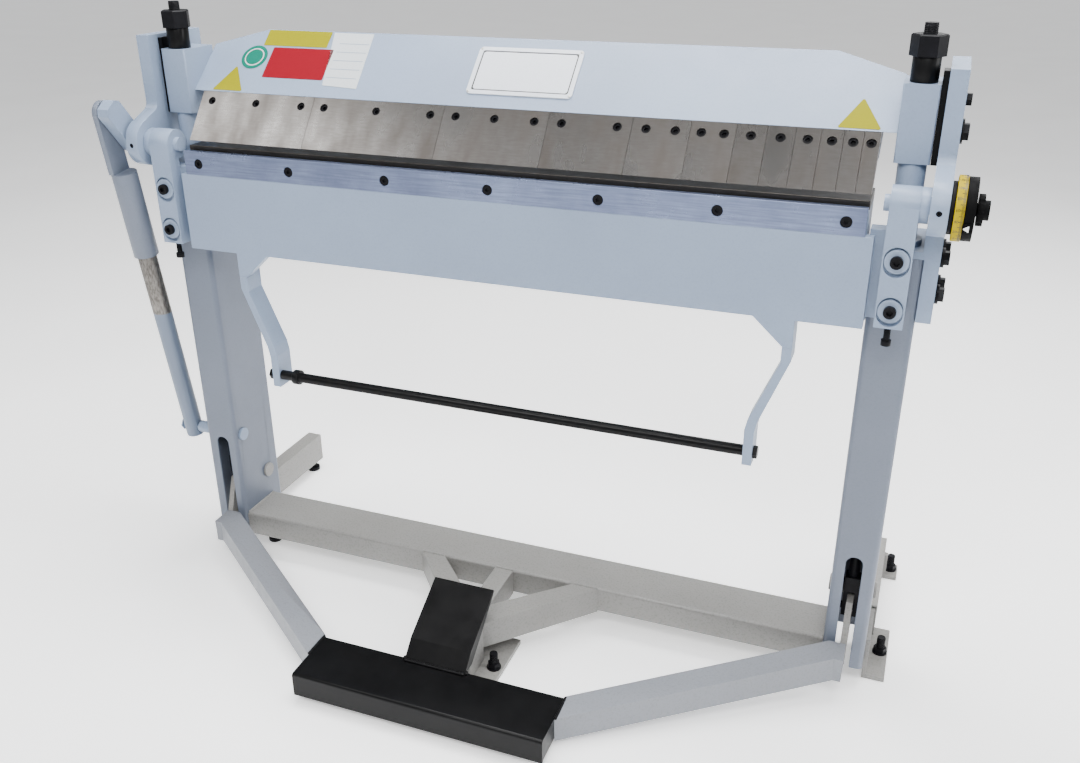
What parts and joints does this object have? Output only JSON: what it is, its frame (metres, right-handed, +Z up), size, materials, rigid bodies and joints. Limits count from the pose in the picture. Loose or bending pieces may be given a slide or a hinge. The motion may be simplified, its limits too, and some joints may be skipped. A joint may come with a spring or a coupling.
{
  "type": "sheet metal brake",
  "caption": "Foot-operated box-and-pan sheet metal brake: segmented clamping fingers over a bed, folding apron with hand rod, foot pedal, counterbalance strut and angle stop.",
  "frame": {"origin": "on the floor, below the middle of the bounding box", "axes": "+X along the fold line to the right of a person at the machine, the person stands on the -Y side, +Z up"},
  "size_m": [1.61, 0.846, 1.204],
  "materials": {
    "body_paint": "satin",
    "base_paint": "satin",
    "black_paint": "semi-gloss",
    "black_hardware": "black oxide",
    "bare_steel": "machined",
    "finger_steel": "hardened and ground",
    "bar_steel": "ground",
    "spring_steel": "drawn",
    "bronze": "machined",
    "scale_yellow": "satin",
    "plate_metal": "satin"
  },
  "bodies": {
    "frame": {"columns": "body_paint", "column_plates": "body_paint", "guide_posts": "body_paint", "cheeks": "body_paint", "frame_bolts": "black_hardware", "guide_strips": "black_paint", "pivot_bushes": "bronze", "bed_plate": "bare_steel", "bed_beam": "body_paint", "foot_beam": "base_paint", "truss_bars": "base_paint", "rear_feet": "base_paint", "floor_plates": "base_paint", "floor_bolts": "black_hardware", "pedal_pins": "base_paint", "strut_foot_pin": "body_paint", "lift_springs": "spring_steel", "dial_flange": "black_paint", "dial_ring": "scale_yellow"},
    "pedal": {"treadle": "black_paint", "treadle_hood": "black_paint", "pedal_arms": "base_paint", "pedal_levers": "base_paint"},
    "lift_gear": {"lift_rods": "black_hardware", "rod_clevises": "black_hardware", "set_springs": "spring_steel"},
    "clamp_beam": {"beam_face": "body_paint", "beam_base": "body_paint", "beam_back": "body_paint", "guide_blocks": "body_paint", "clamp_sleeves": "black_paint", "finger_01": "finger_steel", "finger_02": "finger_steel", "finger_03": "finger_steel", "finger_04": "finger_steel", "finger_05": "finger_steel", "finger_06": "finger_steel", "finger_07": "finger_steel", "fingers_narrow": "finger_steel", "finger_screws": "black_hardware", "name_plate": "plate_metal"},
    "nut_left": {"clamp_nut_left": "black_hardware"},
    "nut_right": {"clamp_nut_right": "black_hardware"},
    "hinge_arms": {"hinge_blocks": "body_paint", "pivot_pins": "body_paint", "crank_arm": "body_paint"},
    "adjuster_left": {"adjusting_screw_left": "black_hardware"},
    "adjuster_right": {"adjusting_screw_right": "black_hardware"},
    "apron": {"apron_plate": "body_paint", "apron_bar": "bar_steel", "bar_screws": "black_hardware", "apron_lugs": "body_paint", "apron_arms": "body_paint", "hand_rod": "black_paint", "clamp_washers": "body_paint", "clamp_screws": "black_hardware"},
    "strut_lower": {"strut_rod": "bare_steel"},
    "strut_upper": {"strut_tube": "body_paint"},
    "angle_stop": {"stop_drum": "black_paint", "lock_knob": "black_paint"}
  },
  "joints": [
    {"name": "apron_fold", "type": "hinge", "parent": "frame", "child": "hinge_arms", "pos_m": [0, -0.048, 0.948], "axis": [-1, 0, 0], "range_deg": [0, 135]},
    {"name": "apron_set", "type": "slide", "parent": "hinge_arms", "child": "apron", "axis": [0, 0, 1], "range_m": [-0.006, 0]},
    {"name": "strut_swing", "type": "hinge", "parent": "frame", "child": "strut_lower", "pos_m": [-0.78, 0.006, 0.292], "axis": [-1, 0, 0], "range_deg": [0, 9.98]},
    {"name": "strut_slide", "type": "slide", "parent": "strut_lower", "child": "strut_upper", "axis": [0, -0.1372, 0.9905], "range_m": [-0.0773, 0]},
    {"name": "pedal_swing", "type": "hinge", "parent": "frame", "child": "pedal", "pos_m": [0, 0.079, 0.163], "axis": [-1, 0, 0], "range_deg": [0, 24]},
    {"name": "lift_slide", "type": "slide", "parent": "frame", "child": "lift_gear", "axis": [0, 0, 1], "range_m": [0, 0.022], "deforming": ["lift_springs"]},
    {"name": "clamp_set", "type": "slide", "parent": "lift_gear", "child": "clamp_beam", "axis": [0, 0, 1], "range_m": [-0.0085, 0], "deforming": ["set_springs"]},
    {"name": "nut_turn_left", "type": "hinge", "parent": "clamp_beam", "child": "nut_left", "pos_m": [-0.686, 0.027, 1.172], "axis": [0, 0, 1], "continuous": true},
    {"name": "nut_turn_right", "type": "hinge", "parent": "clamp_beam", "child": "nut_right", "pos_m": [0.686, 0.027, 1.172], "axis": [0, 0, 1], "continuous": true},
    {"name": "adjuster_turn_left", "type": "hinge", "parent": "hinge_arms", "child": "adjuster_left", "pos_m": [-0.686, -0.061, 0.745], "axis": [0, 0, 1], "continuous": true},
    {"name": "adjuster_turn_right", "type": "hinge", "parent": "hinge_arms", "child": "adjuster_right", "pos_m": [0.686, -0.061, 0.745], "axis": [0, 0, 1], "continuous": true},
    {"name": "stop_turn", "type": "hinge", "parent": "frame", "child": "angle_stop", "pos_m": [0.78, -0.048, 0.948], "axis": [-1, 0, 0], "range_deg": [0, 130]}
  ],
  "couplings": [
    {"joint": "strut_swing", "follows": "apron_fold", "ratio": 0.071722},
    {"joint": "strut_slide", "follows": "apron_fold", "m_per_rad": -0.032616},
    {"joint": "lift_slide", "follows": "pedal_swing", "m_per_rad": 0.052}
  ]
}
